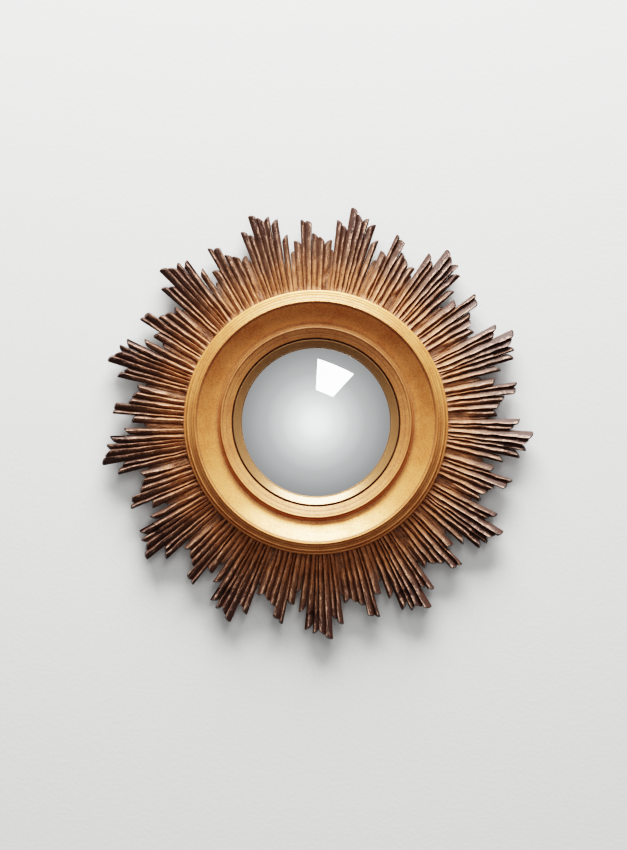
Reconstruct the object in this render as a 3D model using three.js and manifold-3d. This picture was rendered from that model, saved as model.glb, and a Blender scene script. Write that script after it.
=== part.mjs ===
// A round convex wall mirror in a gilded moulding, inside a cast sunburst of carved rays.
//
// Everything is drawn as seen by someone who faces the mirror: x to the right, y up and z out from
// the wall, in millimetres. The group turns it at the end, so that z is up and the glass faces -y.
// The origin is the middle of the flat back, which lies on the wall.

import * as THREE from 'three';
import { mergeVertices } from 'three/addons/utils/BufferGeometryUtils.js';
import Module from 'manifold-3d';

const { lerp } = THREE.MathUtils;
const wasm = await Module();
wasm.setup();

// Fits
const FIT_GAP = 0.3; // between two pieces that touch
const CUT_PAST = 1; // how far a cut runs out past the face it starts from
const ROUND_STEPS = 48; // flats round each turned piece

// Mirror glass, bent to part of a sphere
const GLASS_RADIUS = 80;
const GLASS_THICKNESS = 3;
const GLASS_CURVE_RADIUS = 200;
const GLASS_STEPS = 5; // rows of flats from the middle to the edge

// Back board
const BOARD_RADIUS = 100;
const BOARD_THICKNESS = 9;

// Keyhole plate in the board, hung on the head of a screw
const PLATE_LENGTH = 40;
const PLATE_WIDTH = 17;
const PLATE_THICKNESS = 1.5;
const PLATE_FROM_EDGE = 6; // from its top to the edge of the board
const KEYHOLE_RADIUS = 5;
const KEYHOLE_SLOT_RADIUS = 2.6;
const KEYHOLE_RISE = 12; // from the middle of the hole to the top of the slot
const SCREW_HEAD_DEPTH = 4;
const SCREW_HEAD_CLEARANCE = 1.2;

// Hub of the casting
const HUB_OFF_WALL = 1;
const HUB_LEDGE = 10; // what the edge of the glass lies on
const HUB_FLOOR = 7.7; // thickness in front of the board
const HUB_RIM = 8; // how far the hub runs on under the rays

// Rays of the casting
const SECTORS = 13; // times that the pattern of rays repeats
const FIRST_SECTOR = 5.9; // degrees clockwise from the top
const RAY_LENGTH = 88.5; // of the longest ray, from the moulding to its tip
const RAY_OFF_WALL = 10;
const VALLEY_AT_ROOT = 13; // from the back of the rays to the valley between two of them
const VALLEY_AT_TIP = 6;
const RIDGE_AT_ROOT = 3.3; // from the valley to the ridge of a ray
const RIDGE_AT_TIP = 4.4;
const TIP_BEVEL = 3; // how far the ridge stops short of the back edge at the tip

// The rays of one sector, clockwise. Each begins where the one before it ends. start and lean are
// shares of the sector, lean being how far the root of that edge stands clockwise of its tip, ridge
// is a share of the ray's width, reach gives the length at its two edges as shares of the longest,
// and relief is the share of the ridge height.
const RAYS = [
  { start: 0.0, lean: 0.0, ridge: 0.72, reach: [0.85, 0.81], relief: 0.9 },
  { start: 0.065, lean: 0.0, ridge: 0.56, reach: [0.79, 0.74], relief: 0.8 },
  { start: 0.123, lean: -0.011, ridge: 0.88, reach: [1.0, 0.97], relief: 1.15 },
  { start: 0.195, lean: -0.011, ridge: 0.86, reach: [0.96, 0.89], relief: 1.0 },
  { start: 0.26, lean: -0.018, ridge: 0.76, reach: [0.89, 0.93], relief: 0.9 },
  { start: 0.321, lean: -0.036, ridge: 0.57, reach: [0.83, 0.89], relief: 1.0 },
  { start: 0.401, lean: -0.04, ridge: 0.67, reach: [0.64, 0.71], relief: 1.0 },
  { start: 0.477, lean: -0.036, ridge: 0.5, reach: [0.46, 0.48], relief: 0.15 },
  { start: 0.531, lean: -0.029, ridge: 0.65, reach: [0.62, 0.57], relief: 1.05 },
  { start: 0.625, lean: -0.029, ridge: 0.55, reach: [0.85, 0.82], relief: 0.8 },
  { start: 0.672, lean: -0.036, ridge: 0.85, reach: [0.82, 0.8], relief: 1.05 },
  { start: 0.744, lean: -0.029, ridge: 0.55, reach: [0.69, 0.64], relief: 0.9 },
  { start: 0.816, lean: -0.018, ridge: 0.7, reach: [0.64, 0.58], relief: 1.0 },
  { start: 0.888, lean: -0.011, ridge: 0.35, reach: [0.56, 0.61], relief: 0.9 },
  { start: 0.971, lean: 0.0, ridge: 0.5, reach: [0.51, 0.48], relief: 0.15 },
];

// Sight ring, the narrow ring round the glass, with a flange that the moulding holds down
const SIGHT_OVERLAP = 5; // how far it covers the glass
const SIGHT_LIP = 1.2; // height of its inner edge over the glass
const SIGHT_WIDTH = 7.5;
const SIGHT_RISE = 5.5;
const SIGHT_BEVEL = 0.4; // on its outer edge
const SIGHT_NOSE = 0.6; // on its inner edge
const SIGHT_FLANGE_WIDTH = 9.5;
const SIGHT_FLANGE_THICKNESS = 2.7;
const SHADOW_GAP = 1.5; // dark line between the sight ring and the moulding

// Gilded moulding, its widths from the glass outwards and its heights from its back
const SLOPE_WIDTH = 9.4;
const SLOPE_BOTTOM = 12;
const SLOPE_TOP = 17;
const SLOPE_LINES = [8.6, 4.8]; // distances of its fine lines from its inner edge
const LINE_WIDTH = 0.7;
const LINE_DEPTH = 0.7;
const INNER_BEAD_WIDTH = 5; // with the side that falls to the cove
const INNER_BEAD_ROUND = 1.2; // half the width of its round top
const INNER_BEAD_HEIGHT = 18.6;
const COVE_WIDTH = 19.8;
const COVE_BOTTOM = 11.4;
const COVE_TOP = 24;
const COVE_HOLLOW = 1; // below a straight slope, at its middle
const COVE_EDGE = 0.4; // drop and width of the fine edge over it
const LIP_WIDTH = 7.8;
const LIP_HEIGHT = 27;
const LIP_CREST = 2.6; // from the cove to the top of the lip
const LIP_LINES = [2, 3.1]; // from the top of the lip outwards to the middle of each fine line
const LIP_ROUND = 1.25; // 1 would fall straight from its top
const GROOVE_WIDTH = 0.7;
const GROOVE_DEPTH = 0.8;
const BAND_WIDTH = 5.1;
const BAND_TOP = 20.6;
const OUTER_BEAD_RADIUS = 1.4;
const OUTER_BEAD_SET_IN = 1.2; // its middle, inside the side of the moulding
const OUTER_BEAD_HEIGHT = 11; // to its middle, above the ridges of the rays

// Places that follow from the sizes above
const plateHeight = BOARD_RADIUS - PLATE_FROM_EDGE - PLATE_LENGTH / 2;
const hubBack = HUB_OFF_WALL;
const hubFront = BOARD_THICKNESS + FIT_GAP + HUB_FLOOR;
const seat = hubFront + FIT_GAP;
const sightRadius = GLASS_RADIUS - SIGHT_OVERLAP;
const sightOuterRadius = sightRadius + SIGHT_WIDTH;
const flangeRadius = sightOuterRadius + SIGHT_FLANGE_WIDTH;
const mouldingInnerRadius = sightOuterRadius + SHADOW_GAP;
const slopeEnd = mouldingInnerRadius + SLOPE_WIDTH;
const innerBeadEnd = slopeEnd + INNER_BEAD_WIDTH;
const coveEnd = innerBeadEnd + COVE_WIDTH;
const lipCrest = coveEnd + LIP_CREST;
const lipEnd = coveEnd + LIP_WIDTH;
const bandStart = lipEnd + GROOVE_WIDTH;
const mouldingRadius = bandStart + BAND_WIDTH;
const rootRadius = mouldingRadius + FIT_GAP;
const hubBoreRadius = GLASS_RADIUS - HUB_LEDGE;
const hubRadius = rootRadius + HUB_RIM;

const rayPaint = new THREE.MeshStandardMaterial({ color: 0x8a5a3c, roughness: 0.5, metalness: 0.1 });
const goldLeaf = new THREE.MeshStandardMaterial({ color: 0xc79a58, roughness: 0.4, metalness: 0.7 });
const agedGold = new THREE.MeshStandardMaterial({ color: 0xb2874a, roughness: 0.42, metalness: 0.7 });
const silvering = new THREE.MeshStandardMaterial({ color: 0xdfe2e4, roughness: 0.03, metalness: 1.0 });
const fibreboard = new THREE.MeshStandardMaterial({ color: 0x7d6248, roughness: 0.85, metalness: 0.0 });
const zincPlate = new THREE.MeshStandardMaterial({ color: 0x9fa3a6, roughness: 0.4, metalness: 0.9 });

// Joining and cutting

function toSolid(geometry) {
  const bare = geometry.clone();
  bare.deleteAttribute('normal');
  bare.deleteAttribute('uv');
  const merged = mergeVertices(bare);
  return new wasm.Manifold(
    new wasm.Mesh({
      numProp: 3,
      vertProperties: new Float32Array(merged.attributes.position.array),
      triVerts: new Uint32Array(merged.index.array),
    }),
  );
}

function toGeometry(solid) {
  const { vertProperties, triVerts } = solid.getMesh();
  const geometry = new THREE.BufferGeometry();
  geometry.setAttribute('position', new THREE.BufferAttribute(vertProperties, 3));
  geometry.setIndex(new THREE.BufferAttribute(triVerts, 1));
  geometry.computeVertexNormals();
  return geometry;
}

// Turned pieces

const at = (radius, height) => new THREE.Vector2(radius, height);

// A ring or disc from its section, which runs up its outer side, with its axis along z.
function turned(section) {
  const geometry = new THREE.LatheGeometry(section, ROUND_STEPS);
  geometry.rotateX(Math.PI / 2);
  return geometry;
}

// A ring with a rectangular section.
function collar(innerRadius, outerRadius, bottom, top) {
  return turned([
    at(outerRadius, bottom),
    at(outerRadius, top),
    at(innerRadius, top),
    at(innerRadius, bottom),
    at(outerRadius, bottom),
  ]);
}

// Points on an ellipse about a centre, with the angles in degrees from the outward direction.
function arc(radius, height, width, rise, from, to, steps) {
  return Array.from({ length: steps + 1 }, (_, i) => {
    const angle = THREE.MathUtils.degToRad(from + ((to - from) * i) / steps);
    return at(radius + width * Math.cos(angle), height + rise * Math.sin(angle));
  });
}

// Points on a curve between two points that dips below the straight line between them.
function hollow(from, to, depth, steps) {
  const line = to.clone().sub(from).normalize();
  const away = at(-line.y, line.x).multiplyScalar(4 * depth);
  return Array.from({ length: steps + 1 }, (_, i) => {
    const share = i / steps;
    return from.clone().lerp(to, share).addScaledVector(away, share * (1 - share));
  });
}

// Mirror glass

const sphereRise = (curve, radius) => Math.sqrt(curve * curve - radius * radius);
const backCurve = GLASS_CURVE_RADIUS - GLASS_THICKNESS;
const glassCentre = seat - sphereRise(backCurve, GLASS_RADIUS);
const glassFrontAt = (radius) => glassCentre + sphereRise(GLASS_CURVE_RADIUS, radius);

function mirrorGlass() {
  const rows = Array.from({ length: GLASS_STEPS + 1 }, (_, i) => (GLASS_RADIUS * i) / GLASS_STEPS);
  const back = rows.map((radius) => at(radius, glassCentre + sphereRise(backCurve, radius)));
  const front = rows.map((radius) => at(radius, glassFrontAt(radius))).reverse();
  return turned([...back, ...front]);
}

// Back board and keyhole plate

function keyhole(clearance) {
  const hole = KEYHOLE_RADIUS + clearance;
  const slot = KEYHOLE_SLOT_RADIUS + clearance;
  const meet = Math.asin(slot / hole);
  const outline = new THREE.Path();
  outline.absarc(0, 0, hole, Math.PI / 2 + meet, Math.PI / 2 - meet + 2 * Math.PI, false);
  outline.absarc(0, KEYHOLE_RISE - KEYHOLE_SLOT_RADIUS, slot, 0, Math.PI, false);
  return outline.getPoints(6);
}

function plateShape(clearance) {
  const length = PLATE_LENGTH / 2 + clearance;
  const width = PLATE_WIDTH / 2 + clearance;
  return new THREE.Shape([at(-width, -length), at(width, -length), at(width, length), at(-width, length)]);
}

// A straight bar of a shape, placed at the plate's height.
function plateBar(shape, from, to) {
  const geometry = new THREE.ExtrudeGeometry(shape, { depth: to - from, bevelEnabled: false });
  geometry.translate(0, plateHeight, from);
  return geometry;
}

function hangerPlate() {
  const shape = plateShape(0);
  shape.holes.push(new THREE.Path(keyhole(0).reverse()));
  return plateBar(shape, FIT_GAP, FIT_GAP + PLATE_THICKNESS);
}

function backBoard() {
  const section = [at(0, 0), at(BOARD_RADIUS, 0), at(BOARD_RADIUS, BOARD_THICKNESS), at(0, BOARD_THICKNESS)];
  const pocketDepth = PLATE_THICKNESS + 2 * FIT_GAP;
  const pocket = plateBar(plateShape(FIT_GAP), -CUT_PAST, pocketDepth);
  const headShape = new THREE.Shape(keyhole(SCREW_HEAD_CLEARANCE));
  const headRoom = plateBar(headShape, pocketDepth - CUT_PAST, pocketDepth + SCREW_HEAD_DEPTH);
  return toGeometry(toSolid(turned(section)).subtract(toSolid(pocket)).subtract(toSolid(headRoom)));
}

// Sunburst casting

// A point at an angle clockwise from the top.
function polar(degrees, radius, height) {
  const angle = THREE.MathUtils.degToRad(degrees);
  return new THREE.Vector3(radius * Math.sin(angle), radius * Math.cos(angle), height);
}

const alongRay = (radius) => (radius - rootRadius) / RAY_LENGTH;
const valleyAt = (radius) => RAY_OFF_WALL + lerp(VALLEY_AT_ROOT, VALLEY_AT_TIP, alongRay(radius));
const ridgeAt = (radius) => lerp(RIDGE_AT_ROOT, RIDGE_AT_TIP, alongRay(radius));
const rayCount = SECTORS * RAYS.length;
const rayAt = (index) => RAYS[(index + RAYS.length) % RAYS.length];

// The angles of a ray's left edge at its root and at its tip.
function edgeAngles(index) {
  const { start, lean } = rayAt(index);
  const sectorAngle = 360 / SECTORS;
  const tip = FIRST_SECTOR + (Math.floor(index / RAYS.length) + start) * sectorAngle;
  return [tip + lean * sectorAngle, tip];
}

// The edge that a ray shares with the one before it: points along the valley, and along the back
// below it, at the root, where the shorter ray ends and where the longer one ends.
function sharedEdge(index) {
  const reaches = [...new Set([rayAt(index - 1).reach[1], rayAt(index).reach[0]])].sort();
  const [rootAngle, tipAngle] = edgeAngles(index);
  const far = RAY_LENGTH * reaches.at(-1);
  const line = (rootHeight, tipHeight, bevel) => {
    const from = polar(rootAngle, rootRadius, rootHeight);
    const to = polar(tipAngle, rootRadius + far - bevel, tipHeight);
    const share = (reach) => (RAY_LENGTH * reach - bevel) / (far - bevel);
    return [from, ...reaches.map((reach) => from.clone().lerp(to, share(reach)))];
  };
  return {
    far: reaches.at(-1),
    valley: line(valleyAt(rootRadius), valleyAt(rootRadius + far), TIP_BEVEL / 2),
    back: line(RAY_OFF_WALL, RAY_OFF_WALL, 0),
  };
}

// Triangles between two lines of points that run the same way, with the first line on the left.
function strip(left, right) {
  const triangles = [];
  for (let i = 1; i < left.length; i += 1) triangles.push(left[i - 1], right[0], left[i]);
  for (let i = 1; i < right.length; i += 1) triangles.push(left.at(-1), right[i - 1], right[i]);
  return triangles;
}

// One ray: two facets that meet in the ridge, a flat back, a bevelled tip, an inner end, and what
// stands clear of the shorter rays beside it.
function rayFaces(index) {
  const { ridge, reach, relief } = rayAt(index);
  const left = sharedEdge(index);
  const right = sharedEdge(index + 1);
  const ownPart = (line, ownReach, far) => (ownReach === far ? line : line.slice(0, -1));
  const leftValley = ownPart(left.valley, reach[0], left.far);
  const leftBack = ownPart(left.back, reach[0], left.far);
  const rightValley = ownPart(right.valley, reach[1], right.far);
  const rightBack = ownPart(right.back, reach[1], right.far);
  const [ridgeRootAngle, ridgeTipAngle] = edgeAngles(index).map((angle, end) =>
    lerp(angle, edgeAngles(index + 1)[end], ridge),
  );
  const ridgeRadius = rootRadius + RAY_LENGTH * lerp(reach[0], reach[1], ridge);
  const rootTop = valleyAt(rootRadius) + ridgeAt(rootRadius) * relief;
  const tipTop = valleyAt(ridgeRadius) + ridgeAt(ridgeRadius) * relief;
  const ridgeLine = [
    polar(ridgeRootAngle, rootRadius, rootTop),
    polar(ridgeTipAngle, ridgeRadius - TIP_BEVEL, tipTop),
  ];
  const faces = [
    ...strip(leftValley, ridgeLine),
    ...strip(ridgeLine, rightValley),
    ...strip(rightBack, leftBack),
  ];
  faces.push(leftBack.at(-1), leftValley.at(-1), ridgeLine[1]);
  faces.push(leftBack.at(-1), ridgeLine[1], rightBack.at(-1));
  faces.push(rightBack.at(-1), ridgeLine[1], rightValley.at(-1));
  faces.push(leftBack[0], ridgeLine[0], leftValley[0]);
  faces.push(leftBack[0], rightBack[0], ridgeLine[0]);
  faces.push(rightBack[0], rightValley[0], ridgeLine[0]);
  if (leftValley.length === 3) faces.push(...strip(leftBack.slice(1), leftValley.slice(1)));
  if (rightValley.length === 3) faces.push(...strip(rightValley.slice(1), rightBack.slice(1)));
  return faces;
}

function rayRing() {
  const points = Array.from({ length: rayCount }, (_, index) => rayFaces(index)).flat();
  return new THREE.BufferGeometry().setFromPoints(points);
}

function sunburst() {
  const hub = toSolid(collar(hubBoreRadius, hubRadius, hubBack, hubFront));
  const rebate = toSolid(
    collar(hubBoreRadius - CUT_PAST, BOARD_RADIUS + FIT_GAP, hubBack - CUT_PAST, BOARD_THICKNESS + FIT_GAP),
  );
  return toGeometry(hub.subtract(rebate).add(toSolid(rayRing())));
}

// Sight ring and moulding

function sightRing() {
  const glassEdge = GLASS_RADIUS + FIT_GAP;
  const lipBottom = glassFrontAt(sightRadius) + FIT_GAP;
  const lipTop = lipBottom + SIGHT_LIP;
  const flangeTop = seat + SIGHT_FLANGE_THICKNESS;
  return turned([
    at(flangeRadius, seat),
    at(flangeRadius, flangeTop),
    at(sightOuterRadius, flangeTop),
    at(sightOuterRadius, lipTop + SIGHT_RISE - SIGHT_BEVEL),
    at(sightOuterRadius - SIGHT_BEVEL, lipTop + SIGHT_RISE),
    at(sightRadius + SIGHT_NOSE, lipTop + SIGHT_NOSE),
    at(sightRadius, lipTop),
    at(sightRadius, lipBottom),
    at(glassEdge, glassFrontAt(GLASS_RADIUS) + FIT_GAP),
    at(glassEdge, seat),
    at(flangeRadius, seat),
  ]);
}

// The fine lines cut in the slope of the moulding, from the outer one inwards.
function fineLine(radius, heightAt) {
  return [
    at(radius + LINE_WIDTH / 2, heightAt(radius + LINE_WIDTH / 2)),
    at(radius, heightAt(radius) - LINE_DEPTH),
    at(radius - LINE_WIDTH / 2, heightAt(radius - LINE_WIDTH / 2)),
  ];
}

function slopeAt(radius) {
  return lerp(SLOPE_BOTTOM, SLOPE_TOP, (radius - mouldingInnerRadius) / SLOPE_WIDTH);
}

// The lip falls away outwards from its top, with its crest slightly rounded.
function lipAt(radius) {
  const share = (radius - lipCrest) / (lipEnd - lipCrest);
  return lerp(LIP_HEIGHT, BAND_TOP, share ** LIP_ROUND);
}

function goldMoulding() {
  const lipLines = LIP_LINES.map((distance) => lipCrest + distance).reverse();
  const slopeLines = SLOPE_LINES.map((distance) => mouldingInnerRadius + distance);
  const flangeRoom = SIGHT_FLANGE_THICKNESS + FIT_GAP;
  const outerBead = mouldingRadius - OUTER_BEAD_SET_IN;
  const innerBead = slopeEnd + INNER_BEAD_ROUND;
  return turned([
    at(mouldingRadius, 0),
    ...arc(outerBead, OUTER_BEAD_HEIGHT, OUTER_BEAD_RADIUS, OUTER_BEAD_RADIUS, -70, 110, 2),
    at(bandStart, BAND_TOP),
    at(lipEnd + GROOVE_WIDTH / 2, BAND_TOP - GROOVE_DEPTH),
    at(lipEnd, BAND_TOP),
    ...lipLines.flatMap((radius) => fineLine(radius, lipAt)),
    at(lipCrest, LIP_HEIGHT),
    at(coveEnd + COVE_EDGE, COVE_TOP + COVE_EDGE),
    ...hollow(at(coveEnd, COVE_TOP), at(innerBeadEnd, COVE_BOTTOM), COVE_HOLLOW, 2),
    ...arc(innerBead, SLOPE_TOP, INNER_BEAD_ROUND, INNER_BEAD_HEIGHT - SLOPE_TOP, 0, 180, 4),
    ...slopeLines.flatMap((radius) => fineLine(radius, slopeAt)),
    at(mouldingInnerRadius, SLOPE_BOTTOM),
    at(mouldingInnerRadius, flangeRoom),
    at(flangeRadius + FIT_GAP, flangeRoom),
    at(flangeRadius + FIT_GAP, 0),
    at(mouldingRadius, 0),
  ]);
}

const mirror = new THREE.Group();
mirror.rotation.x = Math.PI / 2;

function addPiece(name, geometry, material) {
  const mesh = new THREE.Mesh(geometry, material);
  mesh.name = name;
  mirror.add(mesh);
  return mesh;
}

addPiece('sunburst', sunburst(), rayPaint);
addPiece('gold_moulding', goldMoulding(), goldLeaf).position.z = seat;
addPiece('sight_ring', sightRing(), agedGold);
addPiece('mirror_glass', mirrorGlass(), silvering);
addPiece('back_board', backBoard(), fibreboard);
addPiece('hanger_plate', hangerPlate(), zincPlate);

export default mirror;
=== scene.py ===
"""Dresses a round convex wall mirror in its sunburst frame and sets it up for the camera.

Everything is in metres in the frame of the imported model: z up, the wall at y = 0 and the glass facing
-y. Sections and rays are drawn in millimetres, by radius and by height out from the wall.
"""

import math

import bpy
import numpy as np
from bpy.props import FloatProperty, FloatVectorProperty, IntProperty, PointerProperty
from mathutils import Matrix, Vector, noise


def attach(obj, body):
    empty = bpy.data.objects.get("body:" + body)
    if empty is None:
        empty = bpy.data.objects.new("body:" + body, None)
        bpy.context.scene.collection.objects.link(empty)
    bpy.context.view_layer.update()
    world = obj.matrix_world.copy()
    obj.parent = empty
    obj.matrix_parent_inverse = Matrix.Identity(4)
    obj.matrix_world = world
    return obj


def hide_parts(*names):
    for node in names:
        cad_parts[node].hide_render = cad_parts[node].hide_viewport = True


bl_info = {
    "name": "Sunburst Wall Mirror",
    "version": (1, 0, 0),
    "blender": (4, 5, 0),
    "location": "View3D > Sidebar > Mirror",
    "description": "Builds a round convex mirror in a carved sunburst, with its finishes and its stage",
    "category": "Object",
}

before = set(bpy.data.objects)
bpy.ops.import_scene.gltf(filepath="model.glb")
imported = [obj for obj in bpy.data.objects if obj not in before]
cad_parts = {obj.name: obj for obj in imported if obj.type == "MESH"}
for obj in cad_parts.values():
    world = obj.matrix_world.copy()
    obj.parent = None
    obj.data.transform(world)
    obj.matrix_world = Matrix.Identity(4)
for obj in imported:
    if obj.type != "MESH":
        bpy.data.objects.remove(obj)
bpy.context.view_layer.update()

MM = 0.001
BODY = "root"

# Sizes shared with the solids, in millimetres
FIT_GAP = 0.3
SEAT = 17.3
HUB_BACK = 1.0
HUB_FRONT = 17.0
HUB_RIM = 8.0
HUB_LEDGE = 10.0
GLASS_RADIUS = 80.0
GLASS_THICKNESS = 3.0
GLASS_CURVE_RADIUS = 200.0
SIGHT_RADIUS = 75.0
SIGHT_WIDTH = 7.5
SIGHT_LIP = 1.2
SIGHT_RISE = 5.5
SIGHT_BEVEL = 0.4
SIGHT_NOSE = 0.6
FLANGE_WIDTH = 9.5
FLANGE_THICKNESS = 2.7
SHADOW_GAP = 1.5
BOARD_RADIUS = 100.0
BOARD_THICKNESS = 9.0
MOULDING_RADIUS = 131.8
ROOT_RADIUS = MOULDING_RADIUS + FIT_GAP
RAY_LENGTH = 88.5
RAY_OFF_WALL = 10.0
VALLEY_AT_ROOT = 13.0
VALLEY_AT_TIP = 6.0
RIDGE_AT_ROOT = 3.3
RIDGE_AT_TIP = 4.4
TIP_BEVEL = 3.0
SECTORS = 13
FIRST_SECTOR = 5.9

# The rays of one sector, clockwise. start and lean are shares of the sector, ridge is a share of the
# ray's width, reach gives the length at its two edges as shares of the longest, relief is a share of
# the ridge height, step is where the upper layer of a stepped ray ends, as a share of the longest ray,
# rises is where along its ray a ridge begins, and sway is how far it leans in millimetres.
RAYS = (
    {"start": 0.0, "lean": 0.0, "ridge": 0.72, "reach": (0.85, 0.81), "relief": 0.9},
    {"start": 0.065, "lean": 0.0, "ridge": 0.56, "reach": (0.79, 0.74), "relief": 0.8},
    {"start": 0.123, "lean": -0.011, "ridge": 0.88, "reach": (1.0, 0.97), "relief": 1.15},
    {"start": 0.195, "lean": -0.011, "ridge": 0.86, "reach": (0.96, 0.89), "relief": 1.0},
    {"start": 0.26, "lean": -0.018, "ridge": 0.76, "reach": (0.89, 0.93), "relief": 0.9, "step": 0.65},
    {"start": 0.321, "lean": -0.036, "ridge": 0.57, "reach": (0.83, 0.89), "relief": 1.0, "step": 0.66},
    {"start": 0.401, "lean": -0.04, "ridge": 0.67, "reach": (0.64, 0.71), "relief": 1.0},
    {"start": 0.477, "lean": -0.036, "ridge": 0.5, "reach": (0.46, 0.48), "relief": 0.15},
    {"start": 0.531, "lean": -0.029, "ridge": 0.65, "reach": (0.62, 0.57), "relief": 1.05},
    {"start": 0.625, "lean": -0.029, "ridge": 0.55, "reach": (0.85, 0.82), "relief": 0.8},
    {"start": 0.672, "lean": -0.036, "ridge": 0.85, "reach": (0.82, 0.8), "relief": 1.05},
    {"start": 0.744, "lean": -0.029, "ridge": 0.55, "reach": (0.69, 0.64), "relief": 0.9},
    {"start": 0.816, "lean": -0.018, "ridge": 0.7, "reach": (0.64, 0.58), "relief": 1.0},
    {"start": 0.888, "lean": -0.011, "ridge": 0.4, "reach": (0.56, 0.61), "relief": 0.9,
     "rises": 0.3, "sway": 3.0},
    {"start": 0.971, "lean": 0.0, "ridge": 0.5, "reach": (0.51, 0.48), "relief": 0.15},
)
RAY_COUNT = SECTORS * len(RAYS)


def srgb(red, green, blue):
    """A colour as seen on a screen, 0 to 255, as the linear values that shaders take."""

    def linear(value):
        share = value / 255
        return share / 12.92 if share <= 0.04045 else ((share + 0.055) / 1.055) ** 2.4

    return linear(red), linear(green), linear(blue), 1.0


def lerp(low, high, share):
    return low + (high - low) * share


# Settings


class MirrorCarving(bpy.types.PropertyGroup):
    """How finely and how unevenly the rays are carved."""

    layer_drop: FloatProperty(
        name="Layer Drop", description="Drop from the upper to the lower layer of a stepped ray",
        default=2.4 * MM, min=0.0, unit="LENGTH",
    )
    waver: FloatProperty(
        name="Waver", description="How far a ridge strays from its straight line",
        default=0.8 * MM, min=0.0, unit="LENGTH",
    )
    ragged: FloatProperty(
        name="Ragged Tips", description="How far a tip falls short of its drawn length at most",
        default=2.1 * MM, min=0.0, unit="LENGTH",
    )
    worn: FloatProperty(
        name="Worn Corners", description="How far the corners of a tip are worn back",
        default=1.6 * MM, min=0.0, unit="LENGTH",
    )
    gouge: FloatProperty(
        name="Gouge Marks", description="Depth of the tool marks along the facets",
        default=0.5 * MM, min=0.0, unit="LENGTH",
    )
    rows: IntProperty(name="Rows", description="Rows of faces along a ray", default=30, min=4)
    columns: IntProperty(name="Columns", description="Columns of faces on each facet", default=5, min=2)


class MirrorTurning(bpy.types.PropertyGroup):
    """How finely the turned rings are made."""

    flats: IntProperty(name="Flats", description="Faces round each turned ring", default=240, min=48)
    softening: IntProperty(name="Softening", description="Passes that round off the edges", default=2, min=0)
    unevenness: FloatProperty(
        name="Unevenness", description="Slight waves in the gilded surface",
        default=0.1 * MM, min=0.0, unit="LENGTH",
    )


class MirrorColours(bpy.types.PropertyGroup):
    """Colours of the finishes."""

    ray_root: FloatVectorProperty(
        name="Ray Root", description="Copper glow next to the moulding", subtype="COLOR", size=4,
        default=srgb(136, 88, 54), min=0.0, max=1.0,
    )
    ray_middle: FloatVectorProperty(
        name="Ray Middle", description="Brown of the rays half way out", subtype="COLOR", size=4,
        default=srgb(86, 59, 43), min=0.0, max=1.0,
    )
    ray_tip: FloatVectorProperty(
        name="Ray Tip", description="Dark patina at the tips", subtype="COLOR", size=4,
        default=srgb(55, 38, 34), min=0.0, max=1.0,
    )
    ray_rubbed: FloatVectorProperty(
        name="Rubbed Ridge", description="Light colour where the ridges are rubbed", subtype="COLOR", size=4,
        default=srgb(184, 147, 127), min=0.0, max=1.0,
    )
    ray_glow: FloatVectorProperty(
        name="Ray Glow", description="Light copper on the ridges at the moulding", subtype="COLOR", size=4,
        default=srgb(178, 127, 97), min=0.0, max=1.0,
    )
    ray_grime: FloatVectorProperty(
        name="Ray Grime", description="Dark stain that lies in the valleys", subtype="COLOR", size=4,
        default=srgb(54, 27, 10), min=0.0, max=1.0,
    )
    gold: FloatVectorProperty(
        name="Gold", description="Leaf on the moulding", subtype="COLOR", size=4,
        default=srgb(204, 137, 82), min=0.0, max=1.0,
    )
    gold_worn: FloatVectorProperty(
        name="Worn Gold", description="Leaf where it is thin", subtype="COLOR", size=4,
        default=srgb(174, 106, 58), min=0.0, max=1.0,
    )
    # The brown film on the sight ring is dust, and painted shade deep in the bowl.
    gold_film_and_shade: FloatVectorProperty(
        name="Brown Film And Shade", description="Film that dulls the gold of the sight ring", subtype="COLOR", size=4,
        default=srgb(136, 108, 76), min=0.0, max=1.0,
    )
    # Dark colour of the groove marks on the gilding: grime, and painted shade in the grooves, at the gap, by
    # the inner bead and at the foot of the cove.
    gold_grime_and_shade: FloatVectorProperty(
        name="Gold Grime And Shade", description="Dark line in the grooves of the gilding", subtype="COLOR", size=4,
        default=srgb(75, 45, 21), min=0.0, max=1.0,
    )


# Shader maths


class Value:
    """An output of a node. Sums on it add Math nodes."""

    def __init__(self, finish, socket):
        self.finish = finish
        self.socket = socket

    def math(self, operation, *operands, clamp=False):
        settings = {"operation": operation, "use_clamp": clamp}
        return self.finish.node("Math", settings, dict(enumerate(operands)))

    def __add__(self, other):
        return self.math("ADD", self, other)

    __radd__ = __add__

    def __sub__(self, other):
        return self.math("SUBTRACT", self, other)

    def __rsub__(self, other):
        return self.math("SUBTRACT", other, self)

    def __mul__(self, other):
        return self.math("MULTIPLY", self, other)

    __rmul__ = __mul__

    def __truediv__(self, other):
        return self.math("DIVIDE", self, other)

    def clamped(self):
        return self.math("ADD", self, 0.0, clamp=True)


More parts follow.
